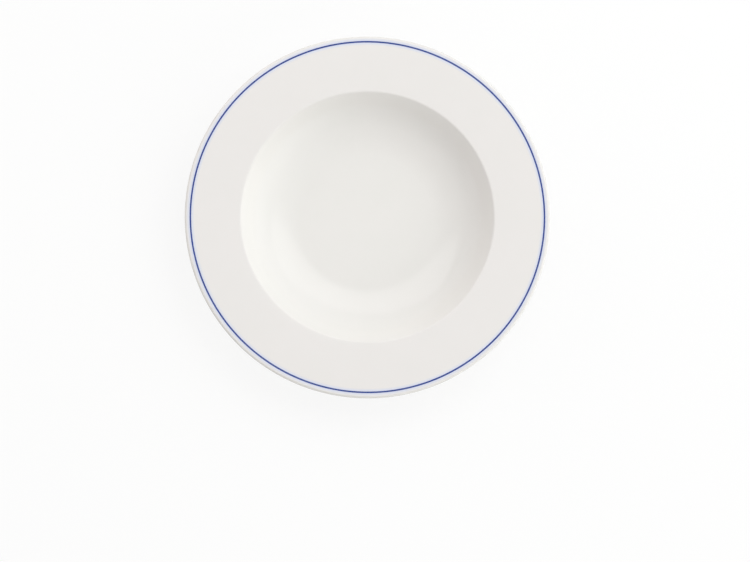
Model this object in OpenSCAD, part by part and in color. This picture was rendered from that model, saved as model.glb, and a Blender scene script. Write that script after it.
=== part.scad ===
// Rimmed soup plate: a fired porcelain body, the clear glaze over it and a blue line round the rim.
// It is turned about +Z. The origin is the centre of the ring it stands on, with the food side up.

/* [Plate] */
// Diameter over the lip
plate_d = 230; // [210:1:280]
// Thickness of the wall, with the glaze on both sides
wall_t = 4.1; // [3.2:0.1:5.2]
// Slope of the rim above level, in degrees
rim_slope = 4.2; // [1:0.1:9]
// Radius of the rounded corners of the lip
lip_r = 1.4; // [0.6:0.1:1.8]

/* [Well] */
// Diameter at which the lines of the rim and the wall would meet
mouth_d = 159.6; // [150:0.2:176]
// Depth of the flat floor below that corner
well_depth = 20.1; // [17:0.1:23]
// Diameter of the flat floor
floor_d = 84.6; // [72:0.2:96]
// Slope of the steep wall above level, in degrees
wall_slope = 51; // [46:1:58]
// Slope at which the wide cove passes into the tight one, in degrees
cove_slope = 21; // [16:1:26]
// Radius of the tight cove at the foot of the steep wall
cove_r = 30; // [22:1:34]
// Radius of the rounded edge between the rim and the wall
edge_r = 2; // [0.8:0.1:3]
// Radius of the hollow under that edge
shoulder_r = 6; // [3:0.5:7]

/* [Foot] */
// Outer diameter of the foot ring
foot_d = 95; // [88:0.5:100]
// Width of the foot ring
foot_w = 4.4; // [3.8:0.1:6]
// Height of the foot ring below the floor
foot_h = 2.9; // [2.2:0.1:4]
// Radius of the foot ring's rounded corners
tread_r = 1.2; // [0.6:0.1:1.3]
// Radius where the foot ring runs into the floor
foot_blend_r = 1.2; // [0.6:0.1:2]

/* [Glaze and line] */
// Thickness of the glaze
glaze_t = 0.3; // [0.2:0.05:0.5]
// Height of the bare clay at the bottom of the foot ring
bare_h = 1.3; // [1.3:0.1:1.7]
// Distance from the lip's outer face to the middle of the blue line
line_inset = 3.6; // [2.8:0.1:12]
// Width of the blue line
line_w = 1.05; // [0.5:0.05:2]
// Depth that the line has sunk into the glaze
line_t = 0.15; // [0.1:0.05:0.15]

/* [Hidden] */
$fn = 180;
// Steps of the outline's long curves and of its small rounded corners, in degrees
curve_step = 3;
corner_step = 9;

plate_r = plate_d / 2;
mouth_r = mouth_d / 2;
floor_r = floor_d / 2;
floor_z = foot_h + wall_t;
corner = [mouth_r, floor_z + well_depth];

// Directions in the cut face, where x is the radius and y is the height
outward = 0;
inward = 180;
down = -90;
function opposite(a) = a + inward;
function ray(a) = [cos(a), sin(a)];
// Directions square to the wall, out of its underside
rim_down = down + rim_slope;
wall_down = down + wall_slope;
cove_down = down + cove_slope;

// The wide cove leaves the floor level and meets the tight cove, which meets the steep wall.
// Its radius is the one that lands the steep wall on the corner.
cove_run = mouth_r - floor_r - cove_r * (sin(wall_slope) - sin(cove_slope));
cove_rise = cove_r * (cos(cove_slope) - cos(wall_slope)) - well_depth;
wide_r = (cove_run * tan(wall_slope) + cove_rise)
    / (sin(cove_slope) * tan(wall_slope) - 1 + cos(cove_slope));
wide_c = [floor_r, floor_z + wide_r];
tight_c = wide_c + (wide_r - cove_r) * ray(cove_down);
wall_run = cove_run - wide_r * sin(cove_slope);

// The rounded edge and the hollow below it share the line that halves the corner.
half_turn = (wall_slope - rim_slope) / 2;
function below_corner(d) = corner + d / cos(half_turn) * ray(rim_down + half_turn);
shoulder = min(shoulder_r, wall_run / cos(wall_slope) / tan(half_turn) - wall_t);
edge_c = below_corner(edge_r);
shoulder_c = below_corner(wall_t + shoulder);

// Height, at radius x, of the line at depth d under the rim's upper face
function rim_z(x, d) = corner[1] + (x - mouth_r) * tan(rim_slope) - d / cos(rim_slope);
lip_x = plate_r - lip_r;
lip_top_c = [lip_x, rim_z(lip_x, lip_r)];
lip_low_c = [lip_x, rim_z(lip_x, wall_t - lip_r)];

// Foot ring: its two corners with the floor are rounded about these centres.
foot_out_r = foot_d / 2;
foot_in_r = foot_out_r - foot_w;
foot_blend = min(foot_blend_r, foot_h - bare_h - glaze_t);
foot_out_x = foot_out_r + foot_blend;
foot_in_x = foot_in_r - foot_blend;
foot_depth = wall_t + foot_blend;
// Centre and radius, at depth d under the food side, of the cove that lies over radius x
function cove_over(x, d) = x > floor_r + (wide_r + d) * sin(cove_slope)
    ? [tight_c, cove_r + d]
    : [wide_c, wide_r + d];
// Slope of the floor or cove there
function slope_over(x, d) = x <= floor_r
    ? 0
    : let(cove = cove_over(x, d)) asin((x - cove[0][0]) / cove[1]);
// Point there
function point_under(x, d) = x <= floor_r
    ? [x, floor_z - d]
    : let(cove = cove_over(x, d)) cove[0] + cove[1] * ray(down + slope_over(x, d));
foot_out_c = point_under(foot_out_x, foot_depth);
foot_in_c = point_under(foot_in_x, foot_depth);
foot_out_down = down + slope_over(foot_out_x, foot_depth);
foot_in_down = down + slope_over(foot_in_x, foot_depth);
tread_corner = min(tread_r, bare_h, foot_w / 2 - glaze_t);

line_in_r = plate_r - line_inset - line_w / 2;
line_out_r = line_in_r + line_w;

// Points of an arc about c, from angle a to angle b
function arc(c, r, a, b, step) = let(n = max(1, ceil(abs(b - a) / step)))
    [for (k = [0:n]) c + r * ray(a + (b - a) * k / n)];

function backwards(points) = [for (k = [len(points) - 1:-1:0]) points[k]];

// The outline's stretches, each taken into the wall by skin

// Food side of the well, from the axis to the edge of the rim
function well_top(skin) = concat(
    [[0, floor_z - skin]],
    arc(wide_c, wide_r + skin, down, cove_down, curve_step),
    arc(tight_c, cove_r + skin, cove_down, wall_down, curve_step),
    arc(edge_c, edge_r - skin, opposite(wall_down), opposite(rim_down), corner_step)
);

// Lip, from the rim's upper face round to its lower one
function lip(skin) = concat(
    arc(lip_top_c, lip_r - skin, opposite(rim_down), outward, corner_step),
    arc(lip_low_c, lip_r - skin, outward, rim_down, corner_step)
);

// Underside of the coves, from one direction to a flatter one
function coves_below(skin, from, to) = concat(
    from > cove_down
        ? arc(tight_c, cove_r + wall_t - skin, from, max(to, cove_down), curve_step)
        : [],
    to < cove_down
        ? arc(wide_c, wide_r + wall_t - skin, min(from, cove_down), to, curve_step)
        : []
);

// Underside, from the rim to the outer side of the foot ring
function underside(skin) = concat(
    arc(shoulder_c, shoulder + skin, opposite(rim_down), opposite(wall_down), corner_step / 2),
    coves_below(skin, wall_down, foot_out_down),
    arc(foot_out_c, foot_blend + skin, opposite(foot_out_down), inward, corner_step)
);

// Hollow inside the foot ring, from the ring's inner side to the axis
function recess(skin) = concat(
    arc(foot_in_c, foot_blend + skin, outward, opposite(foot_in_down), corner_step),
    foot_in_x > floor_r ? coves_below(skin, foot_in_down, down) : [],
    [[0, foot_h + skin]]
);

// Bare tread of the foot ring, between its two glazed sides
tread = concat(
    arc([foot_out_r - glaze_t - tread_corner, tread_corner], tread_corner, outward, down, corner_step),
    arc([foot_in_r + glaze_t + tread_corner, tread_corner], tread_corner, down, -inward, corner_step)
);

// Groove in the rim's upper face, or the line that fills it
line_groove = [
    [line_in_r, rim_z(line_in_r, 0)],
    [line_in_r, rim_z(line_in_r, line_t)],
    [line_out_r, rim_z(line_out_r, line_t)],
    [line_out_r, rim_z(line_out_r, 0)],
];

module plate_body() {
    color("#f0ebe1")
        rotate_extrude()
            polygon(concat(
                well_top(glaze_t),
                lip(glaze_t),
                underside(glaze_t),
                tread,
                recess(glaze_t)
            ));
}

module glaze_coat() {
    color("#f4f2ee")
        rotate_extrude()
            polygon(concat(
                well_top(0),
                line_groove,
                lip(0),
                underside(0),
                [[foot_out_r, bare_h], [foot_out_r - glaze_t, bare_h]],
                backwards(underside(glaze_t)),
                backwards(lip(glaze_t)),
                backwards(well_top(glaze_t))
            ));
}

module foot_glaze() {
    color("#f2f0eb")
        rotate_extrude()
            polygon(concat(
                [[foot_in_r, bare_h]],
                recess(0),
                backwards(recess(glaze_t)),
                [[foot_in_r + glaze_t, bare_h]]
            ));
}

module rim_line() {
    color("#2c4897")
        rotate_extrude()
            polygon(line_groove);
}

plate_body();
glaze_coat();
foot_glaze();
rim_line();
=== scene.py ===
from math import asin, atan, ceil, cos, degrees, radians, sin, sqrt, tan

import bpy
from mathutils import Matrix, Vector


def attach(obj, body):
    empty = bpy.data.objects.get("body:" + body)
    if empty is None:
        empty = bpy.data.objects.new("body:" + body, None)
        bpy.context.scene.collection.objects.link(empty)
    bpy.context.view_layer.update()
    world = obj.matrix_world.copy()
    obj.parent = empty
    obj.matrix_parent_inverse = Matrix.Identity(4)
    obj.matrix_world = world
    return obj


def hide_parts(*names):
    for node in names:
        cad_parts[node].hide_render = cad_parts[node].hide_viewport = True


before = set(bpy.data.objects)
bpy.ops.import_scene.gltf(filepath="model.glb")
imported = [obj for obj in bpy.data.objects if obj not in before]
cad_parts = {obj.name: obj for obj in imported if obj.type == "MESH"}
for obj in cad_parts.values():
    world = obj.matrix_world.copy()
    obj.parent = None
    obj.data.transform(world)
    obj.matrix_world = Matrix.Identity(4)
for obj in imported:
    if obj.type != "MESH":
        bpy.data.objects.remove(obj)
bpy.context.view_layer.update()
mm = 0.001
print("frame loaded:", sorted(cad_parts))


# Camera: nearly overhead and a little rolled, as the plate is photographed
cameraSet = {
    "distance": 1.548,           # in metres, from the centre of the blue line's circle
    "lineHeight": 0.0293,        # of that centre, in metres
    "elevation": 81.6,           # in degrees above level, as seen from that centre
    "roll": 8.0,                 # in degrees: the plate's right side hangs lower in the picture
    "focalPixels": 2460,
    "sensorMm": 36,
    "clip": (0.05, 60),          # the nearest and the farthest that it sees, in metres
    "imageSize": (750, 562),
    "plateAt": (367.7, 215.6),   # the pixel where that centre comes
}

camera = bpy.data.objects.new("camera", bpy.data.cameras.new("camera"))
bpy.context.scene.collection.objects.link(camera)
bpy.context.scene.camera = camera
camera.data.sensor_width = cameraSet["sensorMm"]
camera.data.lens = cameraSet["focalPixels"] / cameraSet["imageSize"][0] * cameraSet["sensorMm"]
camera.data.clip_start, camera.data.clip_end = cameraSet["clip"]

offRight = cameraSet["imageSize"][0] / 2 - cameraSet["plateAt"][0]
offDown = cameraSet["imageSize"][1] / 2 - cameraSet["plateAt"][1]
elevation = radians(cameraSet["elevation"])
camera.matrix_world = (
    Matrix.Translation((
        0,
        -cameraSet["distance"] * cos(elevation),
        cameraSet["lineHeight"] + cameraSet["distance"] * sin(elevation),
    ))
    @ Matrix.Rotation(radians(90) - elevation, 4, "X")
    @ Matrix.Rotation(radians(cameraSet["roll"]), 4, "Z")
    # the aim goes beside the plate, in place of a lens shift
    @ Matrix.Rotation(-atan(offRight / cameraSet["focalPixels"]), 4, "Y")
    @ Matrix.Rotation(-atan(offDown / cameraSet["focalPixels"]), 4, "X")
)
print("camera set")


# Outlines: the same cut face as the CAD model's, in millimetres and degrees, drawn finer.
# In the names below R is a radius, X a distance from the axis, Z a height and C an arc's centre.
plate = {
    "plateAcross": 230, "wallThick": 4.1, "rimSlope": 4.2, "lipRadius": 1.4,
    "mouthAcross": 159.6,               # where the lines of rim and wall would meet
    "wellDeep": 20.1, "floorAcross": 84.6,
    "wallSlope": 51, "coveSlope": 21,   # of the steep wall, and where the wide cove turns tight
    "coveRadius": 30,                   # of the tight cove: the wide one's is worked out below
    "edgeRadius": 2, "shoulderRadius": 6,   # the edge between rim and wall, and the hollow under it
    "footAcross": 95, "footWide": 4.4, "footHigh": 2.9, "blendRadius": 1.2,
    "glazeThick": 0.3, "bareHigh": 1.3,     # the foot is bare clay up to there
    "lineInset": 3.6,                   # from the lip to the middle of the line
    "lineWide": 1.05, "lineDeep": 0.15,
}
drawing = {
    "coveStep": 1.5, "cornerStep": 6,   # degrees of arc for each drawn edge
    "around": 240,                      # edges in a full turn
    "startSize": 2,                     # of the plane that is merged to an outline's first point
    "hold": 0.25, "holdFrom": 3,        # an edge is kept this close to each end of a straight over 3 mm
    "sameSpot": 1e-6,                   # a straight shorter than this isn't drawn
    "mergeWithin": 0.002,               # points closer than this become one
    "ringSlack": 0.02,                  # how far a ring may lie from where it is looked for
    "smoothBelow": 32,                  # degrees between two faces that shade as one
}
wallThick, glazeThick, blendRadius = plate["wallThick"], plate["glazeThick"], plate["blendRadius"]
coveStep, cornerStep = drawing["coveStep"], drawing["cornerStep"]
down, outward, up, inward = -90, 0, 90, 180   # directions in the cut face


def opposite(angle):
    return angle + 180


def ray(angle):
    return Vector((cos(radians(angle)), 0, sin(radians(angle))))


def at(x, z):
    return Vector((x, 0, z))


plateR, mouthR, floorR = plate["plateAcross"] / 2, plate["mouthAcross"] / 2, plate["floorAcross"] / 2
floorZ = plate["footHigh"] + wallThick
corner = at(mouthR, floorZ + plate["wellDeep"])   # where the lines of rim and wall would meet
# directions square to the wall, out of its underside
rimDown, wallDown, coveDown = down + plate["rimSlope"], down + plate["wallSlope"], down + plate["coveSlope"]

# the wide cove's radius is the one that lands the steep wall on the corner
sinWall, cosWall = sin(radians(plate["wallSlope"])), cos(radians(plate["wallSlope"]))
sinCove, cosCove = sin(radians(plate["coveSlope"])), cos(radians(plate["coveSlope"]))
coveRun = mouthR - floorR - plate["coveRadius"] * (sinWall - sinCove)
coveRise = plate["coveRadius"] * (cosCove - cosWall) - plate["wellDeep"]
wideR = (coveRun * sinWall / cosWall + coveRise) / (sinCove * sinWall / cosWall - 1 + cosCove)
wideC = at(floorR, floorZ + wideR)
tightC = wideC + (wideR - plate["coveRadius"]) * ray(coveDown)

halfCorner = (plate["wallSlope"] - plate["rimSlope"]) / 2


def belowCorner(depth):   # on the line that halves the corner, that deep under both of its faces
    return corner + depth / cos(radians(halfCorner)) * ray(rimDown + halfCorner)


edgeC = belowCorner(plate["edgeRadius"])
shoulderC = belowCorner(wallThick + plate["shoulderRadius"])


def rimZ(x, depth):
    slope = radians(plate["rimSlope"])
    return corner.z + (x - mouthR) * tan(slope) - depth / cos(slope)


lipX = plateR - plate["lipRadius"]
lipTopC = at(lipX, rimZ(lipX, plate["lipRadius"]))
lipLowC = at(lipX, rimZ(lipX, wallThick - plate["lipRadius"]))

footOutR = plate["footAcross"] / 2
footInR = footOutR - plate["footWide"]
blendOutX, blendInX = footOutR + blendRadius, footInR - blendRadius
underR = wideR + wallThick + blendRadius
blendOutC = at(blendOutX, wideC.z - sqrt(underR ** 2 - (blendOutX - floorR) ** 2))
blendInC = at(blendInX, floorZ - wallThick - blendRadius)
blendOutDown = down + degrees(asin((blendOutX - floorR) / underR))

lineInR = plateR - plate["lineInset"] - plate["lineWide"] / 2
lineOutR = lineInR + plate["lineWide"]


# A stroke is (centre, radius, first angle, last angle, step). A corner is a stroke of no radius.
def dot(x, z):
    return (at(x, z), 0, 0, 0, 1)


def wellTop(skin):
    return [
        dot(0, floorZ - skin),
        (wideC, wideR + skin, down, coveDown, coveStep),
        (tightC, plate["coveRadius"] + skin, coveDown, wallDown, coveStep),
        (edgeC, plate["edgeRadius"] - skin, opposite(wallDown), opposite(rimDown), cornerStep),
    ]


def lip(skin):
    return [
        (lipTopC, plate["lipRadius"] - skin, opposite(rimDown), outward, cornerStep),
        (lipLowC, plate["lipRadius"] - skin, outward, rimDown, cornerStep),
    ]


def underside(skin):
    return [
        (shoulderC, plate["shoulderRadius"] + skin, opposite(rimDown), opposite(wallDown), cornerStep),
        (tightC, plate["coveRadius"] + wallThick - skin, wallDown, coveDown, coveStep),
        (wideC, wideR + wallThick - skin, coveDown, blendOutDown, coveStep),
        (blendOutC, blendRadius + skin, opposite(blendOutDown), inward, cornerStep),
    ]


def recess(skin):
    return [
        (blendInC, blendRadius + skin, outward, up, cornerStep),
        dot(0, plate["footHigh"] + skin),
    ]


def backwards(strokes):
    return [(centre, radius, last, first, step) for centre, radius, first, last, step in reversed(strokes)]


lineGroove = [
    dot(lineInR, rimZ(lineInR, 0)), dot(lineInR, rimZ(lineInR, plate["lineDeep"])),
    dot(lineOutR, rimZ(lineOutR, plate["lineDeep"])), dot(lineOutR, rimZ(lineOutR, 0)),
]


def lineTo(pen, target):
    path = target - pen
    if path.length < drawing["sameSpot"]:
        return
    parts = [path]
    if path.length > drawing["holdFrom"]:   # the edges near its ends make a flat face shade flat
        inset = path.normalized() * drawing["hold"]
        parts = [inset, path - 2 * inset, inset]
    for part in parts:
        bpy.ops.mesh.extrude_region_move(TRANSFORM_OT_translate={"value": part * mm})


def drawOutline(name, strokes):   # one loose point, extruded along the straights and spun round the arcs
    bpy.ops.object.select_all(action="DESELECT")
    bpy.ops.mesh.primitive_plane_add(size=drawing["startSize"] * mm, enter_editmode=True)
    bpy.ops.mesh.select_mode(type="VERT")   # a loose point can't be held in edge mode
    bpy.ops.mesh.merge(type="CENTER")
    centre, radius, first, last, step = strokes[0]
    pen = centre + radius * ray(first)
    bpy.ops.transform.translate(value=pen * mm)
    for centre, radius, first, last, step in strokes:
        lineTo(pen, centre + radius * ray(first))
        if first != last:
            bpy.ops.mesh.spin(
                steps=ceil(abs(last - first) / step), angle=radians(last - first),
                center=centre * mm, axis=(0, 1, 0),
            )
        pen = centre + radius * ray(last)
    piece = bpy.context.object
    piece.name = piece.data.name = name
    return piece


def turnOnWheel():   # the outline goes once round +Z, and its seam and poles are closed
    bpy.ops.mesh.select_all(action="SELECT")
    bpy.ops.mesh.spin(steps=drawing["around"], angle=radians(360), center=(0, 0, 0), axis=(0, 0, 1))
    bpy.ops.mesh.select_all(action="SELECT")
    bpy.ops.mesh.remove_doubles(threshold=drawing["mergeWithin"] * mm)
    bpy.ops.mesh.normals_make_consistent(inside=False)
    bpy.ops.object.mode_set(mode="OBJECT")


def selectRing(piece, x, z):   # the edges that run round the plate at that radius and height
    bpy.ops.object.mode_set(mode="OBJECT")
    mesh = piece.data
    for group in (mesh.polygons, mesh.edges, mesh.vertices):
        for item in group:
            item.select = False
    for vertex in mesh.vertices:
        offX, offZ = vertex.co.xy.length / mm - x, vertex.co.z / mm - z
        vertex.select = max(abs(offX), abs(offZ)) < drawing["ringSlack"]
    bpy.ops.object.mode_set(mode="EDIT")
    bpy.ops.mesh.select_mode(type="VERT")
    bpy.ops.mesh.select_mode(type="EDGE")


def finishPiece(piece, material, node):
    bpy.ops.object.mode_set(mode="OBJECT")
    bpy.ops.object.select_all(action="DESELECT")
    piece.select_set(True)
    bpy.context.view_layer.objects.active = piece
    bpy.ops.object.shade_smooth_by_angle(angle=radians(drawing["smoothBelow"]))
    piece.data.materials.clear()
    piece.data.materials.append(material)
    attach(piece, "root")
    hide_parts(node)
    print(piece.name, "made with", len(piece.data.polygons), "faces")


# Materials
def toLinear(hexColour):   # the standard sRGB curve, undone
    parts = [int(hexColour[i:i + 2], 16) / 255 for i in (1, 3, 5)]
    return tuple(v / 12.92 if v <= 0.04045 else ((v + 0.055) / 1.055) ** 2.4 for v in parts) + (1,)


def addNode(tree, kind, inputs=None, **settings):
    made = tree.nodes.new("ShaderNode" + kind)
    for name, value in settings.items():
        setattr(made, name, value)
    for socket, value in (inputs or {}).items():
        if isinstance(value, bpy.types.NodeSocket):
            tree.links.new(value, made.inputs[socket])
        else:
            made.inputs[socket].default_value = value
    return made


def newMaterial(name):
    material = bpy.data.materials.new(name)
    material.use_nodes = True
    material.node_tree.nodes.clear()
    return material, material.node_tree


def fromAxis(tree, place):   # the level way out from the plate's axis, and its length
    out = addNode(tree, "VectorMath", {0: place, 1: (1, 1, 0)}, operation="MULTIPLY").outputs[0]
    return out, addNode(tree, "VectorMath", {0: out}, operation="LENGTH").outputs["Value"]


def fromLine(tree, radius):   # how far a radius is from the middle of the blue line, on either side
    middle = (lineInR + lineOutR) / 2 * mm
    past = addNode(tree, "Math", {0: radius, 1: middle}, operation="SUBTRACT").outputs[0]
    return addNode(tree, "Math", {0: past}, operation="ABSOLUTE").outputs[0]


def glazeMaterial(name, look):
    # Clear gloss glaze over white fired porcelain: smooth and shiny, with the faint roll of a glaze
    # that has run in the kiln, greyer over the lip with painted shade, where the glaze also thins, cooler
    # where it has pooled in the well, and tinted warm with painted shade on the faces under the well and
    # round the foot.
    material, tree = newMaterial(name)
    spot = addNode(tree, "TexCoord")
    place = spot.outputs["Object"]
    _, radius = fromAxis(tree, place)
    height = addNode(tree, "SeparateXYZ", {0: place}).outputs["Z"]

    # the glaze pools in the well, where it is a shade cooler than on the rim, and is a little cloudy
    pool = addNode(tree, "MapRange", {
        "Value": radius, "From Min": look["poolFrom"] * mm, "From Max": look["poolTo"] * mm,
    }, interpolation_type="SMOOTHSTEP").outputs[0]
    pooled = addNode(tree, "Mix", {
        "Factor": pool, "A": toLinear(look["colour"]), "B": toLinear(look["poolColour"]),
    }, data_type="RGBA")
    cloud = addNode(tree, "TexNoise", {"Vector": place, "Scale": 1 / (look["cloudMm"] * mm), "Detail": 2})
    body = addNode(tree, "Mix", {
        "Factor": cloud.outputs["Fac"], "A": pooled.outputs["Result"], "B": toLinear(look["cloudTint"]),
    }, data_type="RGBA", blend_type="MULTIPLY")

    # painted shade: greyer over the lip's rounding, where it turns from the light and the glaze also runs
    # thin
    edgeMask = addNode(tree, "MapRange", {
        "Value": radius, "From Min": look["lipShadeFrom"] * mm, "From Max": look["lipShadeTo"] * mm,
    }, interpolation_type="SMOOTHSTEP").outputs[0]
    edged = addNode(tree, "Mix", {
        "Factor": edgeMask, "A": body.outputs["Result"], "B": toLinear(look["lipShadeColour"]),
    }, data_type="RGBA")

    # painted shade: below, where the wall faces outwards or down, the glaze is tinted warm for the warm
    # shade under the plate
    facing = addNode(tree, "SeparateXYZ", {0: spot.outputs["Normal"]}).outputs["Z"]
    outside = addNode(tree, "MapRange", {
        "Value": facing, "From Min": look["underShadeFacing"][0], "From Max": look["underShadeFacing"][1],
    }, interpolation_type="SMOOTHSTEP").outputs[0]
    below = addNode(tree, "MapRange", {
        "Value": height, "From Min": look["underShadeFrom"] * mm, "From Max": look["underShadeTo"] * mm,
    }, interpolation_type="SMOOTHSTEP").outputs[0]
    underShade = addNode(tree, "Math", {0: outside, 1: below}, operation="MULTIPLY").outputs[0]
    shadeWarmed = addNode(tree, "Mix", {
        "Factor": underShade, "A": edged.outputs["Result"], "B": toLinear(look["underShadeTint"]),
    }, data_type="RGBA", blend_type="MULTIPLY")

    # cobalt has strayed a little way into it on both sides of the line, but not under the rim
    stray = addNode(tree, "MapRange", {
        "Value": fromLine(tree, radius), "From Min": (plate["lineWide"] / 2 + look["strayMm"]) * mm,
        "From Max": plate["lineWide"] / 2 * mm, "To Max": look["stray"],
    }, interpolation_type="SMOOTHSTEP").outputs[0]
    onTop = addNode(tree, "Math", {
        0: height, 1: look["strayAbove"] * mm,
    }, operation="GREATER_THAN").outputs[0]
    stray = addNode(tree, "Math", {0: stray, 1: onTop}, operation="MULTIPLY").outputs[0]
    tinted = addNode(tree, "Mix", {
        "Factor": stray, "A": shadeWarmed.outputs["Result"], "B": toLinear(look["strayColour"]),
    }, data_type="RGBA")

    gloss = addNode(tree, "TexNoise", {"Vector": place, "Scale": 1 / (look["glossMm"] * mm), "Detail": 3})
    gloss = addNode(tree, "MapRange", {
        "Value": gloss.outputs["Fac"], "To Min": look["roughness"][0], "To Max": look["roughness"][1],
    }).outputs[0]

    # long soft waves, and the small dimples of an orange's skin on them
    roll = addNode(tree, "TexNoise", {"Vector": place, "Scale": 1 / (look["rollMm"] * mm), "Detail": 1})
    peel = addNode(tree, "TexNoise", {"Vector": place, "Scale": 1 / (look["peelMm"] * mm), "Detail": 2})
    rolled = addNode(tree, "Bump", {
        "Height": roll.outputs["Fac"], "Distance": look["rollDeep"] * mm, "Strength": 1,
    })
    peeled = addNode(tree, "Bump", {
        "Height": peel.outputs["Fac"], "Distance": look["peelDeep"] * mm, "Strength": 1,
        "Normal": rolled.outputs[0],
    })
    shader = addNode(tree, "BsdfPrincipled", {
        "Base Color": tinted.outputs["Result"], "Roughness": gloss, "IOR": look["ior"],
        "Normal": peeled.outputs[0],
    })
    addNode(tree, "OutputMaterial", {"Surface": shader.outputs[0]})
    return material


coatLook = {   # radii, heights and pattern sizes in millimetres
    "colour": "#eae6e4", "poolColour": "#ebe8e5", "poolFrom": 81, "poolTo": 78,
    "cloudTint": "#fcfdfc", "cloudMm": 24,
    # painted shade over the lip's rounding
    "lipShadeColour": "#e2e0dc", "lipShadeFrom": 113.4, "lipShadeTo": 114.9,
    # painted warm shade under the plate, on faces that look outwards or down
    "underShadeTint": "#fffdf0", "underShadeFacing": (0.4, 0.1),   # how far up the face looks: 1 is straight up
    "underShadeFrom": 26, "underShadeTo": 18,
    "strayColour": "#b2c4f2", "strayMm": 2.1, "stray": 0.4, "strayAbove": 28,
    "roughness": (0.07, 0.13), "glossMm": 9, "ior": 1.52,
    "rollMm": 16, "rollDeep": 0.012, "peelMm": 1.6, "peelDeep": 0.0009,
}
recessLook = dict(
    coatLook, poolColour="#e9e6e0", cloudTint="#f8f9f8", cloudMm=14, rollDeep=0.03, stray=0.0,
)


def clayMaterial(name, look):
    # Fired porcelain body without glaze, ground flat on a wheel: chalky and dry to the eye, with a
    # fine grain, a few dark specks, a warm tint close under the glaze and a faint grey where the ring
    # rubs on shelves. Its real grain is too fine to show, so it is drawn coarser.
    material, tree = newMaterial(name)
    place = addNode(tree, "TexCoord").outputs["Object"]
    grain = addNode(tree, "TexNoise", {
        "Vector": place, "Scale": 1 / (look["grainMm"] * mm), "Detail": 4, "Roughness": 0.6,
    })
    clay = addNode(tree, "Mix", {
        "Factor": grain.outputs["Fac"], "A": toLinear(look["colour"]), "B": toLinear(look["grainColour"]),
    }, data_type="RGBA")
    height = addNode(tree, "SeparateXYZ", {0: place}).outputs["Z"]
    worn = addNode(tree, "MapRange", {
        "Value": height, "From Min": look["wearMm"] * mm, "From Max": 0, "To Max": look["wear"],
    }).outputs[0]
    rubbed = addNode(tree, "Mix", {
        "Factor": worn, "A": clay.outputs["Result"], "B": toLinear(look["wearColour"]),
    }, data_type="RGBA")
    flash = addNode(tree, "MapRange", {   # the kiln browns the clay a little, close under the glaze
        "Value": height, "From Min": (plate["bareHigh"] - look["flashMm"]) * mm,
        "From Max": plate["bareHigh"] * mm, "To Max": look["flash"],
    }, interpolation_type="SMOOTHSTEP").outputs[0]
    flashed = addNode(tree, "Mix", {
        "Factor": flash, "A": rubbed.outputs["Result"], "B": toLinear(look["flashColour"]),
    }, data_type="RGBA")
    speckPlace = addNode(tree, "TexVoronoi", {"Vector": place, "Scale": 1 / (look["speckEveryMm"] * mm)})
    speck = addNode(tree, "MapRange", {
        "Value": speckPlace.outputs["Distance"],
        "From Min": look["speckSize"], "From Max": 0, "To Max": look["speck"],
    }, interpolation_type="SMOOTHSTEP").outputs[0]
    specked = addNode(tree, "Mix", {
        "Factor": speck, "A": flashed.outputs["Result"], "B": toLinear(look["speckColour"]),
    }, data_type="RGBA")
    grit = addNode(tree, "TexVoronoi", {"Vector": place, "Scale": 1 / (look["gritMm"] * mm)})
    rough = addNode(tree, "Bump", {
        "Height": grain.outputs["Fac"], "Distance": look["grainDeep"] * mm, "Strength": 1,
    })
    pitted = addNode(tree, "Bump", {
        "Height": grit.outputs["Distance"], "Distance": look["gritDeep"] * mm, "Strength": look["grit"],
        "Normal": rough.outputs[0],
    })
    shader = addNode(tree, "BsdfPrincipled", {
        "Base Color": specked.outputs["Result"], "Roughness": look["roughness"], "IOR": look["ior"],
        "Normal": pitted.outputs[0],
    })
    addNode(tree, "OutputMaterial", {"Surface": shader.outputs[0]})
    return material


clayLook = {
    "colour": "#ebe6dc", "grainColour": "#ded7ca", "grainMm": 0.35, "grainDeep": 0.03,
    "wearColour": "#c9c5bd", "wearMm": 0.25, "wear": 0.5,
    "flashColour": "#d9bf9e", "flashMm": 0.5, "flash": 0.55,
    "speckColour": "#8f7f6b", "speckEveryMm": 1.6, "speckSize": 0.17, "speck": 0.7,
    "gritMm": 0.6, "gritDeep": 0.03, "grit": 0.5,
    "roughness": 0.82, "ior": 1.5,
}


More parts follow.
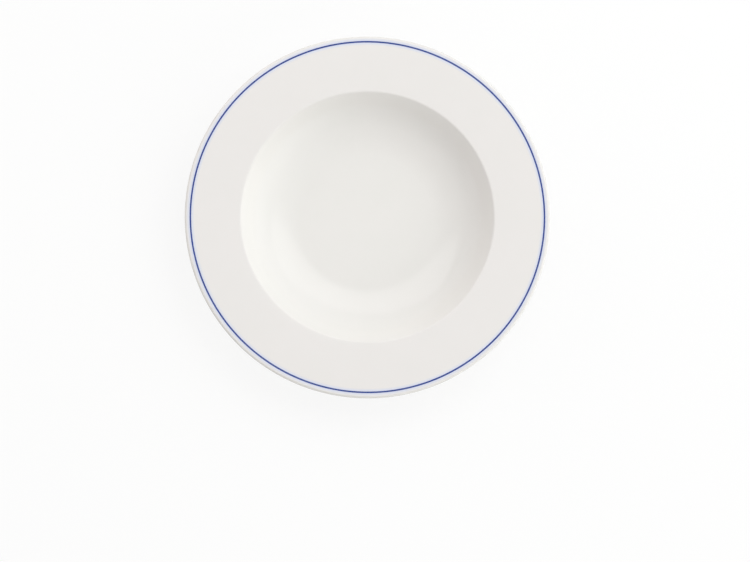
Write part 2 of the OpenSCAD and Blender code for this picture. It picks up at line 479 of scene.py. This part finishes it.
def cobaltMaterial(name, look):
    # Cobalt oxide banded on a turning wheel and fired into the glaze: a deep ink blue under gloss,
    # thinner and lighter towards its edges, with long faint brush streaks that run round the rim.
    material, tree = newMaterial(name)
    out, radius = fromAxis(tree, addNode(tree, "TexCoord").outputs["Object"])
    heading = addNode(tree, "VectorMath", {0: out}, operation="NORMALIZE").outputs[0]
    alongBand = addNode(tree, "VectorMath", {
        0: heading, "Scale": look["streaksAround"],
    }, operation="SCALE").outputs[0]
    acrossBand = addNode(tree, "Math", {
        0: radius, 1: 1 / (look["streakMm"] * mm),
    }, operation="MULTIPLY").outputs[0]
    lift = addNode(tree, "CombineXYZ", {"Z": acrossBand}).outputs[0]
    streakPlace = addNode(tree, "VectorMath", {0: alongBand, 1: lift}, operation="ADD").outputs[0]
    streak = addNode(tree, "TexNoise", {"Vector": streakPlace, "Scale": 1, "Detail": 3})
    ink = addNode(tree, "Mix", {
        "Factor": streak.outputs["Fac"], "A": toLinear(look["deepColour"]), "B": toLinear(look["colour"]),
    }, data_type="RGBA")
    edgeMask = addNode(tree, "MapRange", {
        "Value": fromLine(tree, radius), "From Min": (plate["lineWide"] / 2 - look["fadeMm"]) * mm,
        "From Max": plate["lineWide"] / 2 * mm, "To Max": look["fade"],
    }, interpolation_type="SMOOTHSTEP").outputs[0]
    faded = addNode(tree, "Mix", {
        "Factor": edgeMask, "A": ink.outputs["Result"], "B": toLinear(look["edgeColour"]),
    }, data_type="RGBA")
    shader = addNode(tree, "BsdfPrincipled", {
        "Base Color": faded.outputs["Result"], "Roughness": look["roughness"], "IOR": look["ior"],
    })
    addNode(tree, "OutputMaterial", {"Surface": shader.outputs[0]})
    return material


cobaltLook = {
    "colour": "#2d4898", "deepColour": "#1e3379", "edgeColour": "#4a62a8",
    "fadeMm": 0.2, "fade": 0.5, "streaksAround": 9, "streakMm": 0.22,
    "roughness": 0.1, "ior": 1.52,
}

glaze = glazeMaterial("clearGlazeOnPorcelain", coatLook)
recessGlaze = glazeMaterial("clearGlazeInRecess", recessLook)
clay = clayMaterial("bareFiredPorcelain", clayLook)
cobalt = cobaltMaterial("cobaltBandInGlaze", cobaltLook)
print("materials made")


# Glaze coat: food side, lip and underside in one skin, down to the bare foot
glazeEdge = {"rollMm": 0.2, "rollSteps": 4}


def rollEdge(piece, x):   # the glaze ends in a small rounded roll above the bare clay
    selectRing(piece, x, plate["bareHigh"])
    bpy.ops.mesh.bevel(offset=glazeEdge["rollMm"] * mm, segments=glazeEdge["rollSteps"], affect="EDGES")


coat = drawOutline("glazeCoat", (
    wellTop(0) + lineGroove + lip(0) + underside(0)
    + [dot(footOutR, plate["bareHigh"]), dot(footOutR - glazeThick, plate["bareHigh"])]
    + backwards(underside(glazeThick)) + backwards(lip(glazeThick)) + backwards(wellTop(glazeThick))
))
turnOnWheel()
rollEdge(coat, footOutR)
finishPiece(coat, glaze, "glaze_coat")

# Glaze in the hollow of the foot ring
inner = drawOutline("footGlaze", (
    backwards(recess(glazeThick))
    + [dot(footInR + glazeThick, plate["bareHigh"]), dot(footInR, plate["bareHigh"])]
    + recess(0)
))
turnOnWheel()
rollEdge(inner, footInR)
finishPiece(inner, recessGlaze, "foot_glaze")

# Blue line, level with the glaze
band = drawOutline("rimLine", lineGroove + lineGroove[:1])
turnOnWheel()
finishPiece(band, cobalt, "rim_line")

# The fired body stays as the CAD model has it: only its bare tread shows
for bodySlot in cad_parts["plate_body"].material_slots:
    bodySlot.material = clay
print("body dressed")


# Floor, world and lamps
def seenDirectly(tree):   # 1 for what the camera sees, also in gloss or through glass, and 0 for light
    path = addNode(tree, "LightPath")
    seen = path.outputs["Is Camera Ray"]
    for kind in ("Is Glossy Ray", "Is Transmission Ray"):
        seen = addNode(tree, "Math", {0: seen, 1: path.outputs[kind]}, operation="MAXIMUM").outputs[0]
    return seen


backgroundWhite = {"Color": toLinear("#ffffff"), "Strength": 1}

floorLook = {
    "colour": "#f3f3f2",
    "size": 60,                          # metres
    "gapMm": 0.02,                       # clear of the tread, which stands at height 0
    "whiteShare": 0.86,                  # near the plate: the rest is matt and keeps its shadow
    "whiteFrom": 0.3, "whiteTo": 1.0,    # metres from the plate's middle: past the second it is all white
}
bpy.ops.object.select_all(action="DESELECT")
bpy.ops.mesh.primitive_plane_add(size=floorLook["size"], location=(0, 0, -floorLook["gapMm"] * mm))
floor = bpy.context.object
floor.name = floor.data.name = "floor"
floorMaterial, tree = newMaterial("paleFloor")
place = addNode(tree, "TexCoord").outputs["Object"]
distance = addNode(tree, "VectorMath", {0: place}, operation="LENGTH").outputs["Value"]
share = addNode(tree, "MapRange", {
    "Value": distance, "From Min": floorLook["whiteFrom"], "From Max": floorLook["whiteTo"],
    "To Min": floorLook["whiteShare"],
}, interpolation_type="SMOOTHSTEP").outputs[0]
share = addNode(tree, "Math", {0: seenDirectly(tree), 1: share}, operation="MULTIPLY").outputs[0]
matt = addNode(tree, "BsdfDiffuse", {"Color": toLinear(floorLook["colour"])})
white = addNode(tree, "Emission", backgroundWhite)
mixed = addNode(tree, "MixShader", {0: share, 1: matt.outputs[0], 2: white.outputs[0]})
addNode(tree, "OutputMaterial", {"Surface": mixed.outputs[0]})
floor.data.materials.append(floorMaterial)

worldLook = {"colour": (1.0, 0.99, 0.985, 1), "strength": 0.34}
world = bpy.data.worlds.new("studio")
bpy.context.scene.world = world
world.use_nodes = True
tree = world.node_tree
tree.nodes.clear()
room = addNode(tree, "Background", {"Color": worldLook["colour"], "Strength": worldLook["strength"]})
white = addNode(tree, "Background", backgroundWhite)
mixed = addNode(tree, "MixShader", {0: seenDirectly(tree), 1: room.outputs[0], 2: white.outputs[0]})
addNode(tree, "OutputWorld", {"Surface": mixed.outputs[0]})

# A large softbox behind the plate's right shoulder, a weaker light above the back of it, and a low
# fill at each side. Angles are in degrees, sides in metres, and the glaze mirrors only the one above.
lampDistance = 1.6   # metres from the middle of the plate's foot
lampLook = {
    "softbox": {
        "watts": 18.1, "elevation": 40, "azimuth": 41, "side": (1.8, 1.8),
        "colour": (0.95, 1.0, 1.0), "mirrored": False,
    },
    "topLight": {
        "watts": 6.2, "elevation": 62, "azimuth": 90, "side": (0.9, 2.2),
        "colour": (1.0, 0.985, 0.98), "mirrored": True,
    },
    "leftFill": {
        "watts": 12.0, "elevation": 18, "azimuth": 161, "side": (1.2, 2.6),
        "colour": (1.0, 0.955, 0.94), "mirrored": False,
    },
    "rightFill": {
        "watts": 12.1, "elevation": 18, "azimuth": 315, "side": (1.2, 1.6),
        "colour": (0.994, 1.0, 0.975), "mirrored": False,
    },
}
for name, look in lampLook.items():
    lamp = bpy.data.objects.new(name, bpy.data.lights.new(name, "AREA"))
    bpy.context.scene.collection.objects.link(lamp)
    lamp.data.color = look["colour"]
    lamp.data.energy = look["watts"]
    lamp.data.shape = "RECTANGLE"
    lamp.data.size, lamp.data.size_y = look["side"]
    lamp.rotation_euler = (0, radians(90 - look["elevation"]), radians(look["azimuth"]))
    lamp.location = lamp.rotation_euler.to_matrix() @ Vector((0, 0, lampDistance))
    lamp.visible_camera = False
    lamp.visible_glossy = look["mirrored"]
print("floor, world and lamps set")

bpy.context.scene.view_settings.view_transform = "Standard"
